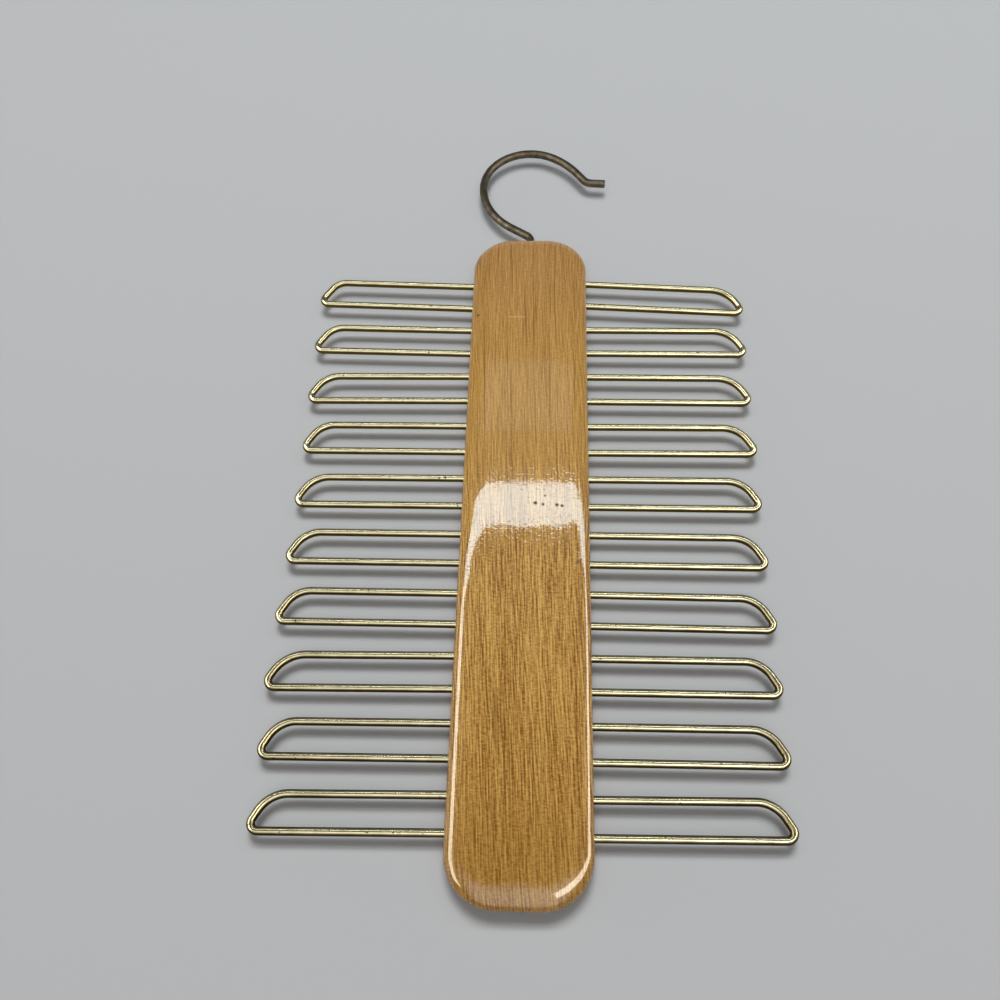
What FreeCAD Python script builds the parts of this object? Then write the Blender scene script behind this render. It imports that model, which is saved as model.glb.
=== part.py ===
import FreeCAD, Part
import os
from math import atan, cos, degrees, pi, radians, sin

# Tie hanger lying on its back: a varnished board with a row of bent wire loops down each edge and a
# swivelling wire hook in its end. X runs across the board, Y along it towards the hook, Z up from its back.
# The origin is the centre of the board's back face. Lengths are in millimetres, turns in degrees.

# Board
board_width = 61.0
board_length = 343.6
board_thickness = 12.0
board_hook_margin = 30.1  # from the hook end of the board to the nearest leg of a loop
board_foot_margin = 28.5  # from the other end to the nearest leg
board_corner_radius = 21.5
board_shoulder_width = 12.0  # of the soft sanded shoulder, in from the edge
board_shoulder_drop = 4.0  # of that shoulder, down to the straight wall of the edge

# Loops of bent wire, with both legs seated in the board's edge
loop_wire = 3.6
loop_reach = 82.8  # from the board's edge to the outside of the nose
loop_nose_turn = 60.0  # of the wide bend, and the tight bend turns what is left of the half turn
loop_nose_run = 4.0  # straight wire between the two bends of the nose
loop_toe_radius = 1.4  # inside the tight bend
leg_depth = 18.0  # of a leg inside the board
leg_hole_spare = 2.0  # drilled deeper than the leg goes
leg_clearance = 0.03  # round a leg in its hole

# The loops were bent by hand and no two are quite alike. From the hook end down, each row gives the rise of
# the nose as a share of the reach, then the reach and the nose run as shares of the sizes above.
left_bend_shares = (
    (0.038, 1.008, 1.70),
    (0.023, 1.003, 1.35),
    (-0.004, 1.000, 1.00),
    (0.001, 0.988, 1.10),
    (0.000, 0.990, 0.90),
    (0.001, 0.993, 1.00),
    (0.001, 1.003, 1.10),
    (-0.011, 1.011, 0.60),
    (-0.009, 0.994, 1.00),
    (-0.015, 0.994, 0.90),
)
right_bend_shares = (
    (-0.054, 1.013, 0.60),
    (-0.004, 1.001, 0.80),
    (-0.004, 0.998, 0.80),
    (0.002, 1.000, 0.90),
    (-0.001, 0.993, 1.00),
    (-0.003, 0.994, 1.00),
    (-0.007, 1.003, 1.00),
    (0.001, 0.998, 1.00),
    (0.004, 0.999, 1.00),
    (0.013, 0.995, 1.00),
)
lean_pivot_share = 0.25  # of the reach, where a leaning loop crosses its true place

# Hook of thicker wire, turning in a bush in the board's end
hook_wire = 4.4
hook_neck_height = 2.0  # straight shank between the board and the neck bend
hook_neck_radius = 5.0
hook_neck_turn = 57.0
hook_cheek_run = 10.4  # straight wire between the neck and the cheek
hook_cheek_radius = 37.3
hook_cheek_turn = 57.0
hook_crown_radius = 27.0
hook_crown_turn = 119.5
hook_throat_radius = 44.7
hook_throat_turn = 24.5
hook_lip_run = 6.5  # straight wire between the throat and the lip
hook_lip_radius = 6.0
hook_lip_turn = 49.5
hook_tip_length = 8.0
hook_tip_round = 0.6
hook_head_diameter = 5.8
hook_head_thickness = 2.0
hook_clearance = 0.08  # round the shank in the bush
hook_end_play = 0.3  # between the head and the bush

# Bush
bush_wall = 1.0
bush_length = 16.0
bush_recess = 1.0  # below the board's end, where the shoulder is thick enough to cover it
bush_clearance = 0.01  # round the bush in its bore
bore_spare = 3.0  # below the hook's head

cut_overrun = 1.0  # of a hole's cutter past the face it enters

loop_rows = len(left_bend_shares)
leg_row_length = board_length - board_hook_margin - board_foot_margin
loop_height = leg_row_length / (2 * loop_rows - 1)  # centre to centre, with the legs evenly spaced
loop_pitch = 2 * loop_height
mid_height = board_thickness / 2
across = FreeCAD.Vector(1, 0, 0)
along = FreeCAD.Vector(0, 1, 0)
up = FreeCAD.Vector(0, 0, 1)
origin = FreeCAD.Vector(0, 0, 0)


def bent_wire(diameter, start, heading, bends, tail):
    """Round wire of straight runs and tangent arcs, each bend a (run before it, radius, left turn)."""
    edges = []
    here = start
    facing = FreeCAD.Vector(heading)
    for run, radius, turn in bends:
        if run > 0:
            bend_start = here + facing * run
            edges.append(Part.LineSegment(here, bend_start).toShape())
            here = bend_start
        side = 1 if turn > 0 else -1
        to_centre = up.cross(facing) * side * radius
        centre = here + to_centre
        turning = FreeCAD.Rotation(up, turn / 2)
        bend_middle = centre + turning.multVec(-to_centre)
        bend_end = centre + turning.multVec(turning.multVec(-to_centre))
        edges.append(Part.Arc(here, bend_middle, bend_end).toShape())
        here = bend_end
        facing = turning.multVec(turning.multVec(facing))
    edges.append(Part.LineSegment(here, here + facing * tail).toShape())
    section = Part.Wire(Part.makeCircle(diameter / 2, start, heading))
    return Part.Wire(edges).makePipeShell([section], True, False)


def loop_solid(reach_share, run_share):
    """One loop with its nose towards +X and the board's edge at X = 0, centred between its legs."""
    turn = radians(loop_nose_turn)
    toe = loop_toe_radius + loop_wire / 2
    run = loop_nose_run * run_share
    brow = (loop_height - run * sin(turn) - toe * (1 + cos(turn))) / (1 - cos(turn))
    toe_centre = loop_reach * reach_share - loop_wire / 2 - toe
    brow_start = toe_centre + toe * sin(turn) - run * cos(turn) - brow * sin(turn)
    start = FreeCAD.Vector(-leg_depth, loop_height / 2, 0)
    bends = (
        (leg_depth + brow_start, brow, -loop_nose_turn),
        (run, toe, degrees(turn - pi)),
    )
    return bent_wire(loop_wire, start, across, bends, toe_centre + leg_depth)


def leg_holes():
    """Cutters for the two blind holes of one loop, in the loop's own place."""
    radius = loop_wire / 2 + leg_clearance
    depth = leg_depth + leg_hole_spare + cut_overrun
    inward = -across
    upper = Part.makeCylinder(radius, depth, FreeCAD.Vector(cut_overrun, loop_height / 2, 0), inward)
    lower = Part.makeCylinder(radius, depth, FreeCAD.Vector(cut_overrun, -loop_height / 2, 0), inward)
    return [upper, lower]


def at_edge(shape, side, row, rise_share):
    """Set a shape made for the board's edge at X = 0 against one edge, in its row, with the loop's lean."""
    placed = shape.copy() if side > 0 else shape.mirror(origin, across)
    pivot = FreeCAD.Vector(side * loop_reach * lean_pivot_share, 0, 0)
    placed.rotate(pivot, up, side * degrees(atan(rise_share)))
    first_row = board_length / 2 - board_hook_margin - loop_height / 2
    placed.translate(FreeCAD.Vector(side * board_width / 2, first_row - row * loop_pitch, mid_height))
    return placed


def edge_section():
    """Cross-section of the board's border, from a corner's centre out, with elliptical shoulders."""
    shoulder_start = board_corner_radius - board_shoulder_width
    front_wall = board_thickness - board_shoulder_drop
    back_inner = FreeCAD.Vector(shoulder_start, 0, 0)
    back_outer = FreeCAD.Vector(board_corner_radius, 0, board_shoulder_drop)
    back_centre = FreeCAD.Vector(shoulder_start, 0, board_shoulder_drop)
    front_inner = FreeCAD.Vector(shoulder_start, 0, board_thickness)
    front_outer = FreeCAD.Vector(board_corner_radius, 0, front_wall)
    front_centre = FreeCAD.Vector(shoulder_start, 0, front_wall)
    front_middle = FreeCAD.Vector(0, 0, board_thickness)
    outline = [
        Part.LineSegment(origin, back_inner).toShape(),
        Part.Ellipse(back_outer, back_inner, back_centre).toShape(0, pi / 2),
        Part.LineSegment(back_outer, front_outer).toShape(),
        Part.Ellipse(front_outer, front_inner, front_centre).toShape(0, pi / 2),
        Part.LineSegment(front_inner, front_middle).toShape(),
        Part.LineSegment(front_middle, origin).toShape(),
    ]
    return Part.Face(Part.Wire(outline))


def board_blank():
    """Plank made of a middle block, with four straight edges and four turned corners of one section."""
    inner_width = board_width - 2 * board_corner_radius
    inner_length = board_length - 2 * board_corner_radius
    middle = FreeCAD.Vector(inner_width / 2, inner_length / 2, 0)
    blank = Part.makeBox(inner_width, inner_length, board_thickness, -middle)
    section = edge_section()
    quarter_turn = degrees(pi / 2)
    corner = section.revolve(origin, up, quarter_turn)
    borders = []
    corner_sides = ((1, 1), (-1, 1), (-1, -1), (1, -1))
    for quarter, (across_side, along_side) in enumerate(corner_sides):
        run = inner_length if across_side == along_side else inner_width
        corner_centre = FreeCAD.Vector(across_side * inner_width / 2, along_side * inner_length / 2, 0)
        for border in (section.extrude(-along * run), corner.copy()):
            border.rotate(origin, up, quarter * quarter_turn)
            border.translate(corner_centre)
            borders.append(border)
    return blank.fuse(borders).removeSplitter()


def end_cylinder(radius, length, top):
    """Round bar along the board from a given distance above its hook end downwards."""
    return Part.makeCylinder(radius, length, FreeCAD.Vector(0, board_length / 2 + top, mid_height), -along)


def hook_solid():
    """Hook from the headed end of its shank to its lip, lying in the plane of the loops."""
    head_top = bush_recess + bush_length + hook_end_play
    shank_start = head_top + hook_head_thickness
    start = FreeCAD.Vector(0, board_length / 2 - shank_start, mid_height)
    bends = (
        (shank_start + hook_neck_height, hook_neck_radius, hook_neck_turn),
        (hook_cheek_run, hook_cheek_radius, -hook_cheek_turn),
        (0, hook_crown_radius, -hook_crown_turn),
        (0, hook_throat_radius, -hook_throat_turn),
        (hook_lip_run, hook_lip_radius, hook_lip_turn),
    )
    wire = bent_wire(hook_wire, start, along, bends, hook_tip_length)
    tip_edge = max(wire.Edges, key=lambda edge: edge.CenterOfMass.x)
    wire = wire.makeFillet(hook_tip_round, [tip_edge])
    head = end_cylinder(hook_head_diameter / 2, hook_head_thickness, -head_top)
    return wire.fuse(head).removeSplitter()


def bush_solid():
    """Plain bush, open at both ends for the shank."""
    inner = hook_wire / 2 + hook_clearance
    sleeve = end_cylinder(inner + bush_wall, bush_length, -bush_recess)
    return sleeve.cut(end_cylinder(inner, bush_length + 2 * cut_overrun, cut_overrun - bush_recess))


def hook_bore():
    """Cutter for the bore in the board's end, which takes the bush and leaves room for the head below it."""
    radius = hook_wire / 2 + hook_clearance + bush_wall + bush_clearance
    depth = bush_recess + bush_length + hook_end_play + hook_head_thickness + bore_spare
    return end_cylinder(radius, depth + cut_overrun, cut_overrun)


nodes = {}
cutters = [hook_bore()]
for side_name, side, bend_shares in (("left", -1, left_bend_shares), ("right", 1, right_bend_shares)):
    for row, (rise_share, reach_share, run_share) in enumerate(bend_shares):
        loop = loop_solid(reach_share, run_share)
        nodes["loop_%s_%02d" % (side_name, row + 1)] = at_edge(loop, side, row, rise_share)
        for hole in leg_holes():
            cutters.append(at_edge(hole, side, row, rise_share))
nodes["board"] = board_blank().cut(cutters)
nodes["hook_bush"] = bush_solid()
nodes["hook"] = hook_solid()

os.makedirs("parts", exist_ok=True)
for name, shape in nodes.items():
    shape.exportStep(os.path.join("parts", name + ".step"))
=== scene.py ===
import math

import bmesh
import bpy
import numpy as np
from mathutils import Matrix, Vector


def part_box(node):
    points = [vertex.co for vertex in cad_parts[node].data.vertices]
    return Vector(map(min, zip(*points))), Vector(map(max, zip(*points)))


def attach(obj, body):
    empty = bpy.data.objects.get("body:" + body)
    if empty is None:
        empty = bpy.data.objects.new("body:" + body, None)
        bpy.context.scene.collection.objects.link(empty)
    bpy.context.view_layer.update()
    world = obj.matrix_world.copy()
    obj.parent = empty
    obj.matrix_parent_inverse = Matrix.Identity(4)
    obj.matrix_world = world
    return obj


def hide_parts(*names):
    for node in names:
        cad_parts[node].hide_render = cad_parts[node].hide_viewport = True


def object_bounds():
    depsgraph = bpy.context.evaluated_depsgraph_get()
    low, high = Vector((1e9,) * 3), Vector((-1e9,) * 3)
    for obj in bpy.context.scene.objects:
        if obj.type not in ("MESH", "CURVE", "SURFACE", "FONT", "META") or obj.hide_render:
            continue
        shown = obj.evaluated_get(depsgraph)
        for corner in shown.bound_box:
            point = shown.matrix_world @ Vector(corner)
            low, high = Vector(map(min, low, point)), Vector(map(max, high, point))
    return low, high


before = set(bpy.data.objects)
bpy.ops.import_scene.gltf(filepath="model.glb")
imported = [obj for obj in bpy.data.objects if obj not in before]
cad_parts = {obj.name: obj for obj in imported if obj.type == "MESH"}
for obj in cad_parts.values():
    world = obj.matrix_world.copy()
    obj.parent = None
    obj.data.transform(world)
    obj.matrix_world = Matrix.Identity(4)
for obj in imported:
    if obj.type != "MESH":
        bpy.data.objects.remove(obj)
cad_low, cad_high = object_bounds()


# Board
# One plank of beech, sawn with its grain along the hanger, its corners rounded and its edges sanded by hand
# to a soft shoulder, then sprayed with clear gloss varnish. It is drilled for the loops' legs and for the
# hook's bush.
board_low, board_high = (np.array(corner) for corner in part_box("board"))
bush_low, bush_high = (np.array(corner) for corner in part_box("hook_bush"))
hook_low = np.array(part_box("hook")[0])
corner_radius = 0.0215
shoulder_width = 0.012
shoulder_height = 0.004
sanding_waver = 0.05
sanding_waves = ((7, 0.6, 1.0), (17, 2.1, 0.6), (31, 0.0, 0.35))  # count round the outline, start and share
flat_inset = 0.018
side_steps, end_steps, corner_steps = 150, 16, 28
shoulder_rings, flat_rings, middle_rings = 25, 4, 9
hole_depth = 0.020
hole_clearance = 0.00003
bore_clearance = 0.00001
bore_spare = 0.003
drill_overrun = 0.001
drill_flare = 0.00025
drill_sides = 36
seam_gap = 1e-7
sliver = 1e-8
sharp_edge = math.radians(40)


def rounded_outline(half_width, half_length, radius, along_sides, along_ends, along_corners):
    """Closed outline of a rounded oblong as points and outward normals.

    A corner is its centre plus the radius times (cos a, sin a), with a running through a quarter turn, and a
    side is the straight blend from the last point of one corner to the first of the next.
    """
    quarters = np.arange(4)[:, None]
    angle = (quarters + np.linspace(0, 1, along_corners + 1)[None, :]) * np.pi / 2
    normals = np.stack([np.cos(angle), np.sin(angle)], -1)
    signs = np.array([[1, 1], [-1, 1], [-1, -1], [1, -1]])
    centres = signs * [half_width - radius, half_length - radius]
    corners = centres[:, None, :] + radius * normals
    points, directions = [], []
    for quarter in range(4):
        following = (quarter + 1) % 4
        steps = along_ends if quarter % 2 == 0 else along_sides
        blend = np.linspace(0, 1, steps + 1)[1:-1, None]
        side = corners[quarter, -1] * (1 - blend) + corners[following, 0] * blend
        points += [corners[quarter], side]
        directions += [normals[quarter], np.repeat(normals[quarter, -1:], len(side), 0)]
    return np.concatenate(points), np.concatenate(directions)


def board_surface(low, high):
    """Skin of the plank: a profile carried round the outline, from the back's middle to the front's.

    On the shoulder, at an angle b from the side wall, the skin lies width * (1 - cos b) inside the outline
    and height * sin b beyond the wall. The width wavers round the outline by a sum of sine waves. Inside the
    flat inset the skin runs straight to the plank's own centre line.
    """
    half = (high - low)[:2] / 2
    outline, normals = rounded_outline(*half, corner_radius, side_steps, end_steps, corner_steps)
    travel = np.linspace(0, 2 * np.pi, len(outline), endpoint=False)[:, None]
    waver = sum(np.sin(count * travel + start) * share for count, start, share in sanding_waves)
    width = shoulder_width * (1 + sanding_waver * waver)
    lean = np.linspace(0, np.pi / 2, shoulder_rings)[None, :]
    shoulder = width * (1 - np.cos(lean))
    flat = width + (flat_inset - width) * np.linspace(0, 1, flat_rings)[None, 1:]
    inset = np.concatenate([shoulder, flat], 1)
    rise = np.concatenate([shoulder_height * np.sin(lean[0]), np.full(flat.shape[1], shoulder_height)])
    front = outline[:, None, :] - normals[:, None, :] * inset[:, :, None]
    spine_end = half[1] - half[0]
    spine = np.stack([np.zeros(len(outline)), np.clip(outline[:, 1], -spine_end, spine_end)], -1)
    inward = np.linspace(0, 1, middle_rings)[None, 1:, None]
    middle = front[:, -1:, :] * (1 - inward) + spine[:, None, :] * inward
    front = np.concatenate([front, middle], 1)
    rise = np.concatenate([rise, np.full(middle.shape[1], shoulder_height)])
    plan = np.concatenate([front[:, ::-1], front], 1)
    height = np.concatenate([low[2] + shoulder_height - rise[::-1], high[2] - shoulder_height + rise])
    height = np.broadcast_to(height[None, :, None], plan.shape[:2] + (1,))
    return np.concatenate([plan, height], 2)


def skin_mesh(name, grids):
    """Mesh of grids of points, one grid to a skin, in each of which the last row runs on into the first."""
    index = np.arange(grids[..., 0].size).reshape(grids.shape[:-1])
    ahead = np.roll(index, -1, 1)
    faces = np.stack([index[..., :-1], ahead[..., :-1], ahead[..., 1:], index[..., 1:]], -1).reshape(-1, 4)
    mesh = bpy.data.meshes.new(name)
    mesh.from_pydata(grids.reshape(-1, 3), [], faces)
    mesh.polygons.foreach_set("use_smooth", np.ones(len(faces), bool))
    return mesh


def leg_axes(node):
    """Inner ends of a loop's two legs and the way out along them.

    The two ends are square to the legs, so the way out is the line between their centres, given a quarter
    turn.
    """
    points = np.array([vertex.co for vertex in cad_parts[node].data.vertices])
    inside = points[np.abs(points[:, 0]) < board_high[0] / 2]
    upper = inside[:, 1] > inside[:, 1].mean()
    ends = np.stack([(group.min(0) + group.max(0)) / 2 for group in (inside[upper], inside[~upper])])
    between = ends[0] - ends[1]
    out = np.array([between[1], -between[0], 0]) / np.linalg.norm(between)
    return ends, out * np.sign(inside[0, 0]) * np.sign(out[0])


def drill(start, heading, radii, depths):
    """Turned cutter: circles of given radii and depths along a heading, closed by a point at each end."""
    heading = np.asarray(heading, float)
    across = np.cross(heading, [0, 0, 1])
    turn = np.linspace(0, 2 * np.pi, drill_sides, endpoint=False)[:, None, None]
    ring = across * np.cos(turn) + np.cross(heading, across) * np.sin(turn)
    radii = np.array([0, *radii, 0])[None, :, None]
    depths = np.array([depths[0], *depths, depths[-1]])[None, :, None]
    return start + heading * depths + ring * radii


def merged(mesh):
    """Closes the seams and poles of a mesh and turns its faces outwards."""
    shape = bmesh.new()
    shape.from_mesh(mesh)
    bmesh.ops.remove_doubles(shape, verts=shape.verts, dist=seam_gap)
    bmesh.ops.dissolve_degenerate(shape, edges=shape.edges, dist=sliver)
    bmesh.ops.recalc_face_normals(shape, faces=shape.faces)
    shape.to_mesh(mesh)
    shape.free()
    return mesh


def placed(name, mesh):
    """An object of a mesh, at the origin and in the scene."""
    piece = bpy.data.objects.new(name, mesh)
    bpy.context.scene.collection.objects.link(piece)
    return piece


def linear(code):
    """Linear colour of an sRGB hex code: v / 12.92 below 0.04045 and ((v + 0.055) / 1.055) ** 2.4 above."""
    values = np.array([int(code[place:place + 2], 16) for place in (1, 3, 5)]) / 255
    values = np.where(values <= 0.04045, values / 12.92, ((values + 0.055) / 1.055) ** 2.4)
    return (*values.tolist(), 1.0)


def add(tree, kind, inputs=(), **settings):
    """Adds a shader node: settings are its options, and inputs pair a socket with a value or an output."""
    node = tree.nodes.new("ShaderNode" + kind)
    for option, value in settings.items():
        setattr(node, option, value)
    for socket, value in dict(inputs).items():
        if isinstance(value, bpy.types.NodeSocket):
            tree.links.new(value, node.inputs[socket])
        else:
            node.inputs[socket].default_value = value
    return node


def varnished_beech():
    """Beech under clear gloss varnish: honey brown with fine dark streaks, palest at mid length and painted
    darker towards the foot as painted shade.

    The streaks lean and fan towards the foot, and are drawn wider than real pores so that they show. Short
    flecks cross them, and there are two dark specks and a pale scratch. The varnish has a slight orange peel
    with nibs of dust in it, sinks a little over the streaks and has a few pinholes, painted dark as shade in
    their pits.
    """
    material = bpy.data.materials.new("varnished_beech")
    material.use_nodes = True
    tree = material.node_tree
    shader = tree.nodes["Principled BSDF"]
    place = add(tree, "TexCoord").outputs["Object"]
    side, end, height = add(tree, "SeparateXYZ", {0: place}).outputs

    def sum_of(value, factor, rest):
        """A value times a factor, plus the rest."""
        return add(tree, "Math", {0: value, 1: factor, 2: rest}, operation="MULTIPLY_ADD").outputs[0]

    lean, lean_change, fan, lean_in_depth = 0.038, -0.085, -0.5, 0.15
    drift_length, drift_width = 0.090, 0.002
    fibre = sum_of(end, sum_of(end, lean_change, lean), side)
    fibre = sum_of(fibre, sum_of(end, fan, 1.0), 0.0)
    drift = add(tree, "TexNoise", {"Vector": place, "Scale": 1 / drift_length, "Detail": 1.0}).outputs["Fac"]
    fibre = sum_of(drift, drift_width, fibre)
    fibre = add(tree, "CombineXYZ", {0: sum_of(height, lean_in_depth, fibre), 1: end, 2: height}).outputs[0]

    def streaks(width, length, aside=0.0):
        """Noise about zero, drawn out along the grain to a streak's width and length, and six widths deep."""
        scale = (1 / width, 1 / length, 1 / (6 * width))
        shift = (aside, 0.0, 0.0)
        stretched = add(tree, "Mapping", {"Vector": fibre, "Location": shift, "Scale": scale}).outputs[0]
        noise = {"Vector": stretched, "Scale": 1.0, "Detail": 0.0}
        return add(tree, "TexNoise", noise, normalize=False).outputs["Fac"]

    def lines(width, length):
        """Streaks less the same streaks half a width aside, which leaves thin lines and no broad patches."""
        return sum_of(streaks(width, length, 0.5), -1.0, streaks(width, length))

    def between(value, low, high, bottom=0.0, top=1.0):
        """A value's place between two limits, as a share of the way from the bottom to the top."""
        limits = {"Value": value, "From Min": low, "From Max": high, "To Min": bottom, "To Max": top}
        return add(tree, "MapRange", limits).outputs[0]

    def blend(share, under, over):
        """One colour over another, by a share from 0 to 1."""
        return add(tree, "Mix", {0: share, 6: under, 7: over}, data_type="RGBA").outputs[2]

    def near(spot, reach, stretch=1.0):
        """One at a spot on the board's front and nothing beyond a reach from it.

        The spot is drawn out crosswise by its stretch, and tenfold in depth.
        """
        squeeze = np.array([1 / stretch, 1.0, 0.1])
        seen = add(tree, "VectorMath", {0: place, 1: squeeze}, operation="MULTIPLY").outputs["Vector"]
        spot = np.array([*spot, board_high[2]]) * squeeze
        gap = add(tree, "VectorMath", {0: seen, 1: spot}, operation="DISTANCE").outputs["Value"]
        return between(gap, reach, reach / 3)

    layers = (
        (streaks(0.0060, 0.150), 0.12),  # broad bands
        (streaks(0.0030, 0.060), 0.17),  # narrow bands
        (streaks(0.0014, 0.016), 0.26),  # short streaks
        (lines(0.0008, 0.009), 0.74),  # fine lines
        (streaks(0.0016, 0.0008), 0.42),  # flecks across the grain
    )
    figure = 0.0
    for layer, amount in layers:
        figure = sum_of(layer, amount, figure)
    weak, strong = 0.40, 1.0
    contrast = between(end, 0.04, -0.02, weak, strong)
    figure = sum_of(figure, contrast, 0.5)
    pores = between(streaks(0.0008, 0.045), 0.34, 0.50, 0.0, 0.5)
    # The base colour is painted darker over the lower half and darkest at the foot, as painted shade where
    # the light falls off towards the camera; it is palest at mid length.
    shaded_lower_part, mid_length, hook_end, foot = "#CA9C4F", "#D8AA5B", "#C49960", "#BA8E43"
    pale = blend(between(end, -0.15, 0.02), linear(shaded_lower_part), linear(mid_length))
    pale = blend(between(end, 0.08, 0.17), pale, linear(hook_end))
    pale = blend(between(end, -0.125, -0.150), pale, linear(foot))
    colour = blend(figure, linear("#7E4C04"), pale)
    colour = blend(pores, colour, linear("#6A4004"))
    specks = (((-0.0270, 0.1178), 0.0010, 1.0), ((0.0249, -0.0240), 0.0014, 0.6))
    for spot, reach, strength in specks:
        colour = blend(sum_of(near(spot, reach), strength, 0.0), colour, linear("#4A2A0C"))
    scratch = near((-0.0063, 0.1160), 0.0006, stretch=11.0)
    colour = blend(sum_of(scratch, 0.5, 0.0), colour, linear("#DDB680"))
    bare_shaded_pits = 0.0
    pinholes = (
        ((0.0048, 0.0058), 0.0013), ((0.0084, 0.0051), 0.0010), ((0.0150, 0.0049), 0.0012),
        ((0.0174, 0.0044), 0.0011), ((0.0094, 0.0097), 0.0007),
    )
    for spot, reach in pinholes:
        bare_shaded_pits = sum_of(near(spot, reach), 1.0, bare_shaded_pits)
    # The pinholes are painted dark brown as painted shade in their pits, and their varnish is left off.
    colour = blend(bare_shaded_pits, colour, linear("#3A2810"))
    tree.links.new(colour, shader.inputs["Base Color"])
    shader.inputs["Roughness"].default_value = 0.36
    shader.inputs["Specular IOR Level"].default_value = 0.25
    tree.links.new(sum_of(bare_shaded_pits, -1.0, 1.0), shader.inputs["Coat Weight"])
    shader.inputs["Coat Roughness"].default_value = 0.025
    shader.inputs["Coat IOR"].default_value = 1.68
    peel_size, dust_size = 0.0030, 0.0011
    peel_height, nib_height, sinking, micron = 9.0, 5.5, 0.6, 0.000001
    peel = add(tree, "TexNoise", {"Vector": place, "Scale": 1 / peel_size, "Detail": 2.0}).outputs["Fac"]
    dust = add(tree, "TexNoise", {"Vector": place, "Scale": 1 / dust_size, "Detail": 0.0}).outputs["Fac"]
    nibs = between(dust, 0.60, 0.80)
    depth = sum_of(peel, peel_height, sum_of(nibs, nib_height, sum_of(figure, sinking, 0.0)))
    bump = add(tree, "Bump", {"Height": depth, "Distance": micron, "Strength": 1.0}).outputs[0]
    tree.links.new(bump, shader.inputs["Coat Normal"])
    return material


plank = placed("board_plank", merged(skin_mesh("board_plank", board_surface(board_low, board_high)[None])))
loop_nodes = sorted(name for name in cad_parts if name.startswith("loop_"))
loop_low, loop_high = (np.array(corner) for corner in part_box(loop_nodes[0]))
leg_radius = (loop_high[2] - loop_low[2]) / 2
hole = leg_radius + hole_clearance
bore = (bush_high[0] - bush_low[0]) / 2 + bore_clearance
bore_bottom = np.array([0, hook_low[1] - bore_spare, (board_low[2] + board_high[2]) / 2])
bore_mouth = board_high[1] - bore_bottom[1]
bore_depths = [0, bore_mouth, bore_mouth + drill_overrun]
drills = [drill(bore_bottom, [0, 1, 0], [bore, bore, bore], bore_depths)]
for node in loop_nodes:
    ends, way_out = leg_axes(node)
    for end in ends:
        mouth = (board_high[0] - abs(end[0])) / abs(way_out[0])
        depths = [mouth - hole_depth, mouth - drill_flare, mouth + drill_overrun]
        drills.append(drill(end, way_out, [hole, hole, hole + drill_flare + drill_overrun], depths))
tool = placed("drills", merged(skin_mesh("drills", np.stack(drills))))
cut = plank.modifiers.new("drilled", "BOOLEAN")
cut.object = tool
cut.solver = "EXACT"
bpy.context.view_layer.update()
drilled = bpy.data.meshes.new_from_object(plank.evaluated_get(bpy.context.evaluated_depsgraph_get()))
plank.modifiers.clear()
plank.data = drilled
bpy.data.objects.remove(tool)
drilled.set_sharp_from_angle(angle=sharp_edge)
drilled.materials.clear()
drilled.materials.append(varnished_beech())
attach(plank, "board_body")
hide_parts("board")


# Hook bush
# A plain sleeve of turned steel, pressed into the bore in the board's end, in which the hook turns. Only its
# end face shows, round the shank.
def turned_steel():
    """Plain turned steel: mid grey, broken up by fine marks of the tool."""
    material = bpy.data.materials.new("turned_steel")
    material.use_nodes = True
    tree = material.node_tree
    shader = tree.nodes["Principled BSDF"]
    place = add(tree, "TexCoord").outputs["Object"]
    mark_size = 0.0004
    marks = add(tree, "TexNoise", {"Vector": place, "Scale": 1 / mark_size, "Detail": 2.0}).outputs["Fac"]
    greys = {0: marks, 6: linear("#8E8F90"), 7: linear("#B4B4B2")}
    colour = add(tree, "Mix", greys, data_type="RGBA").outputs[2]
    tree.links.new(colour, shader.inputs["Base Color"])
    shader.inputs["Metallic"].default_value = 1.0
    shader.inputs["Roughness"].default_value = 0.35
    return material


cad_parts["hook_bush"].data.materials.clear()
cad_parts["hook_bush"].data.materials.append(turned_steel())
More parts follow.
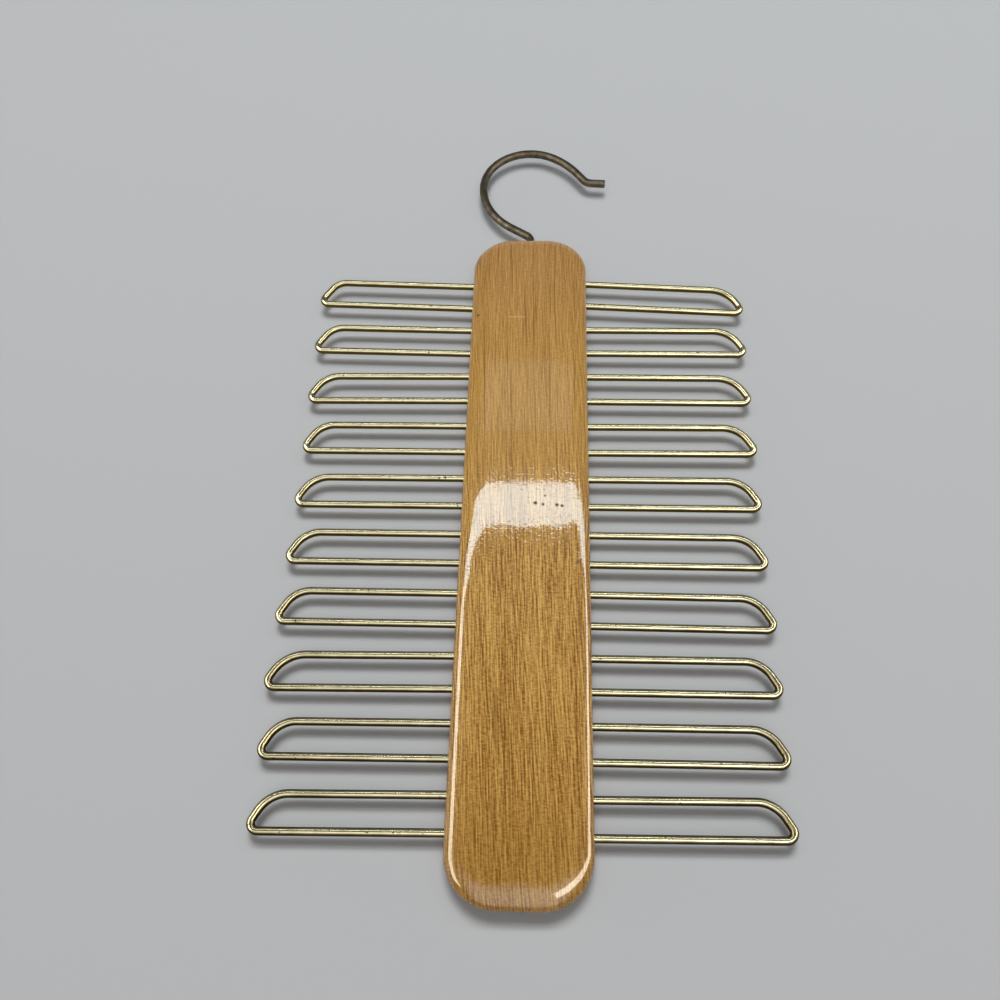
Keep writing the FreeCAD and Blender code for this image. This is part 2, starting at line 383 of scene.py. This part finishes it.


# Loops
# Twenty loops of brass-plated steel wire, bent by hand over a former, with both legs pushed into the board's
# edge. The plating is painted pale along the top as a painted highlight and olive brown on the flanks as
# painted shade; it has browned at the noses and is browner towards the foot of the hanger.
def brass_plated_wire(board_edge, nose):
    """Thin brass plating on drawn steel wire: a painted highlight of pale gold along the tops, painted shade
    of olive brown on the flanks and where browned, a few nicks.
    """
    material = bpy.data.materials.new("brass_plated_wire")
    material.use_nodes = True
    tree = material.node_tree
    shader = tree.nodes["Principled BSDF"]
    place = add(tree, "TexCoord").outputs["Object"]
    facing = add(tree, "SeparateXYZ", {0: add(tree, "TexCoord").outputs["Normal"]}).outputs["Z"]
    facing = add(tree, "Math", {0: facing}, operation="ABSOLUTE").outputs[0]
    across, end = add(tree, "SeparateXYZ", {0: place}).outputs[:2]
    across = add(tree, "Math", {0: across}, operation="ABSOLUTE").outputs[0]
    brightest, brownest = 0.10, -0.10
    at_nose, at_foot, clouding = 0.08, 0.16, 0.30
    cloud_size, speck_size, speck_height = 0.009, 0.0022, 0.0000012
    foot = add(tree, "MapRange", {"Value": end, "From Min": brightest, "From Max": brownest}).outputs[0]
    browning = {"Value": across, "From Min": board_edge, "From Max": nose, "To Min": 0.0, "To Max": at_nose}
    browning = add(tree, "MapRange", browning).outputs[0]
    browning = add(tree, "Math", {0: foot, 1: at_foot, 2: browning}, operation="MULTIPLY_ADD").outputs[0]
    cloud = add(tree, "TexNoise", {"Vector": place, "Scale": 1 / cloud_size, "Detail": 3.0}).outputs["Fac"]
    # The tops are painted pale gold as a painted highlight and the flanks olive brown as painted shade, by
    # the upright part of the surface's normal.
    painted_highlight_and_wear = add(tree, "Math", {0: facing, 1: browning}, operation="SUBTRACT").outputs[0]
    painted_highlight_and_wear = add(tree, "Math", {0: cloud, 1: clouding, 2: painted_highlight_and_wear}, operation="MULTIPLY_ADD").outputs[0]
    painted_highlight_and_wear = add(tree, "MapRange", {"Value": painted_highlight_and_wear, "From Min": 0.62, "From Max": 0.98}).outputs[0]
    speck = add(tree, "TexNoise", {"Vector": place, "Scale": 1 / speck_size, "Detail": 2.0}).outputs["Fac"]
    nick = add(tree, "MapRange", {"Value": speck, "From Min": 0.70, "From Max": 0.76}).outputs[0]
    flank_shade_and_tarnish = {0: foot, 6: linear("#6A5A2A"), 7: linear("#443610")}
    flank_shade_and_tarnish = add(tree, "Mix", flank_shade_and_tarnish, data_type="RGBA").outputs[2]
    colour = add(tree, "Mix", {0: painted_highlight_and_wear, 6: flank_shade_and_tarnish, 7: linear("#EFE2B8")}, data_type="RGBA").outputs[2]
    colour = add(tree, "Mix", {0: nick, 6: colour, 7: linear("#4A3618")}, data_type="RGBA").outputs[2]
    tree.links.new(colour, shader.inputs["Base Color"])
    shader.inputs["Metallic"].default_value = 1.0
    dulled = add(tree, "MapRange", {"Value": painted_highlight_and_wear, "To Min": 0.36, "To Max": 0.20}).outputs[0]
    tree.links.new(dulled, shader.inputs["Roughness"])
    bump = add(tree, "Bump", {"Height": speck, "Distance": speck_height, "Strength": 1.0}).outputs[0]
    tree.links.new(bump, shader.inputs["Normal"])
    return material


brass = brass_plated_wire(board_high[0], cad_high[0])
for node in loop_nodes:
    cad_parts[node].data.materials.clear()
    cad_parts[node].data.materials.append(brass)


# Hook
# Thicker steel wire bent to an open hook with an outward lip, bronze plated and darkened with age. Its shank
# turns in the bush and is headed below it.
def aged_bronze_plating():
    """Old bronze plating on steel wire: dark warm brown, dull, patchy, and rubbed lighter in places."""
    material = bpy.data.materials.new("aged_bronze_plating")
    material.use_nodes = True
    tree = material.node_tree
    shader = tree.nodes["Principled BSDF"]
    place = add(tree, "TexCoord").outputs["Object"]
    patch_size, grit_size, grit_height = 0.004, 0.0007, 0.00004
    patch = add(tree, "TexNoise", {"Vector": place, "Scale": 1 / patch_size, "Detail": 4.0}).outputs["Fac"]
    patch = add(tree, "MapRange", {"Value": patch, "From Min": 0.3, "From Max": 0.7}).outputs[0]
    browns = {0: patch, 6: linear("#4E4539"), 7: linear("#7A705F")}
    colour = add(tree, "Mix", browns, data_type="RGBA").outputs[2]
    tree.links.new(colour, shader.inputs["Base Color"])
    shader.inputs["Metallic"].default_value = 1.0
    roughness = add(tree, "MapRange", {"Value": patch, "To Min": 0.52, "To Max": 0.36}).outputs[0]
    tree.links.new(roughness, shader.inputs["Roughness"])
    grit = add(tree, "TexNoise", {"Vector": place, "Scale": 1 / grit_size, "Detail": 3.0}).outputs["Fac"]
    bump = add(tree, "Bump", {"Height": grit, "Distance": grit_height, "Strength": 1.0}).outputs[0]
    tree.links.new(bump, shader.inputs["Normal"])
    return material


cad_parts["hook"].data.materials.clear()
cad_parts["hook"].data.materials.append(aged_bronze_plating())


# Floor
# A plain table top in matt pale grey, on which the hanger lies on its back. It is one square, wide enough to
# fill the view.
floor_half = 3.0
floor_signs = ((-1, -1), (1, -1), (1, 1), (-1, 1))
floor_corners = [(side * floor_half, end * floor_half, 0) for side, end in floor_signs]
floor_mesh = bpy.data.meshes.new("floor")
floor_mesh.from_pydata(floor_corners, [], [(0, 1, 2, 3)])
floor_paint = bpy.data.materials.new("floor_paint")
floor_paint.use_nodes = True
floor_shader = floor_paint.node_tree.nodes["Principled BSDF"]
floor_shader.inputs["Base Color"].default_value = linear("#B4B4B5")
floor_shader.inputs["Roughness"].default_value = 0.9
floor_mesh.materials.append(floor_paint)
floor = placed("floor", floor_mesh)


# Studio light
# Soft boxes hung face down at one height: a cool bar in three lengths beyond the hook end with a dim glow
# behind it, mirrored across the board, and warm boxes at the sides and a corner, mirrored as lines down its
# shoulders. A broad key light from beyond the hook end casts the shadows, and a dome fills the rest.
lamp_height = 1.0
cool, warm = "#ECFBFF", "#FFF6E2"
lamps = {  # place across and along, length and width in metres, turn in degrees, brightness, colour
    "bar_light": (-0.375, 0.5006, 0.95, 0.082, 0.8, 7.5, cool),
    "bar_middle_light": (0.35, 0.5340, 0.503, 0.088, 6.3, 7.5, cool),
    "bar_end_light": (0.90, 0.6085, 0.604, 0.115, 6.4, 6.9, cool),
    "ceiling_light": (0.0, 0.725, 0.60, 0.15, 0.0, 0.40, cool),
    "left_light": (-1.10, -0.10, 0.50, 1.30, 0.0, 7.6, warm),
    "right_light": (1.55, 0.315, 0.70, 0.73, 0.0, 7.6, warm),
    "corner_light": (1.086, -0.1815, 1.892, 0.26, 24.0, 7.6, warm),
}
line_lamps = ("left_light", "right_light", "corner_light")  # these show in the gloss and light nothing else
for name, (side, end, length, width, turn, brightness, tint) in lamps.items():
    lamp = bpy.data.lights.new(name, "AREA")
    lamp.color = linear(tint)[:3]
    lamp.shape = "RECTANGLE"
    lamp.size = length
    lamp.size_y = width
    lamp.energy = brightness * math.pi * length * width
    source = bpy.data.objects.new(name, lamp)
    source.location = (side, end, lamp_height)
    source.rotation_euler = (0, 0, math.radians(turn))
    source.visible_diffuse = name not in line_lamps
    bpy.context.scene.collection.objects.link(source)
key_slant, key_spread = math.radians(30), math.radians(24)
key_share = 0.55
key = bpy.data.lights.new("key_light", "SUN")
key.angle = key_spread
key.energy = key_share * math.pi / math.cos(key_slant)
source = bpy.data.objects.new("key_light", key)
source.rotation_euler = (-key_slant, 0, 0)
source.visible_glossy = False
bpy.context.scene.collection.objects.link(source)
world = bpy.data.worlds.new("soft_dome")
bpy.context.scene.world = world
world.use_nodes = True
sky = world.node_tree
sideways, ahead, upward = add(sky, "SeparateXYZ", {0: add(sky, "TexCoord").outputs["Generated"]}).outputs
# The dome is dim overhead and pale at the horizon, with a paler wall on the left and, behind the camera, a
# strip that the wires mirror along their tops.
ceiling_level, horizon_level, wall_level, strip_level = 0.05, 0.35, 0.60, 1.25
horizon = {
    "Value": upward, "From Min": 0.40, "From Max": 0.22, "To Min": ceiling_level, "To Max": horizon_level
}
horizon = add(sky, "MapRange", horizon, interpolation_type="SMOOTHSTEP").outputs[0]
wall = {"Value": sideways, "From Min": -0.84, "From Max": -0.94, "To Min": 0.0, "To Max": wall_level}
wall = add(sky, "MapRange", wall, interpolation_type="SMOOTHSTEP").outputs[0]
sideways = add(sky, "Math", {0: sideways}, operation="ABSOLUTE").outputs[0]
strip = 1.0
for bearing, dark, bright in ((sideways, 0.55, 0.30), (ahead, 0.02, -0.28), (upward, 0.45, 0.75)):
    share = {"Value": bearing, "From Min": dark, "From Max": bright, "To Min": 0.0, "To Max": strip}
    strip = add(sky, "MapRange", share, interpolation_type="SMOOTHSTEP").outputs[0]
dome = add(sky, "Math", {0: horizon, 1: wall}, operation="ADD").outputs[0]
dome = add(sky, "Math", {0: strip, 1: strip_level, 2: dome}, operation="MULTIPLY_ADD").outputs[0]
sky.links.new(dome, sky.nodes["Background"].inputs["Strength"])
sky.nodes["Background"].inputs["Color"].default_value = linear("#FFFFFF")


# Camera
# It stands above the foot of the hanger and looks down the board, turned a little to one side. Its place and
# turns put the legs of the loops where the photograph has them.
sensor_width = 36.0
focal_share = 0.92629
camera_place = (0.00663, -0.19342, 0.40379)
camera_turn = math.radians(5.319)
camera_dip = 62.803
camera_tilt = math.radians(90 - camera_dip)
camera_roll = math.radians(-4.060)
lens = bpy.data.cameras.new("camera")
lens.sensor_width = sensor_width
lens.lens = sensor_width * focal_share
lens.clip_start = 0.01
camera = bpy.data.objects.new("camera", lens)
camera.matrix_world = (
    Matrix.Translation(camera_place)
    @ Matrix.Rotation(camera_turn, 4, "Z")
    @ Matrix.Rotation(camera_tilt, 4, "X")
    @ Matrix.Rotation(camera_roll, 4, "Z")
)
bpy.context.scene.collection.objects.link(camera)
bpy.context.scene.camera = camera
bpy.context.scene.view_settings.view_transform = "Standard"
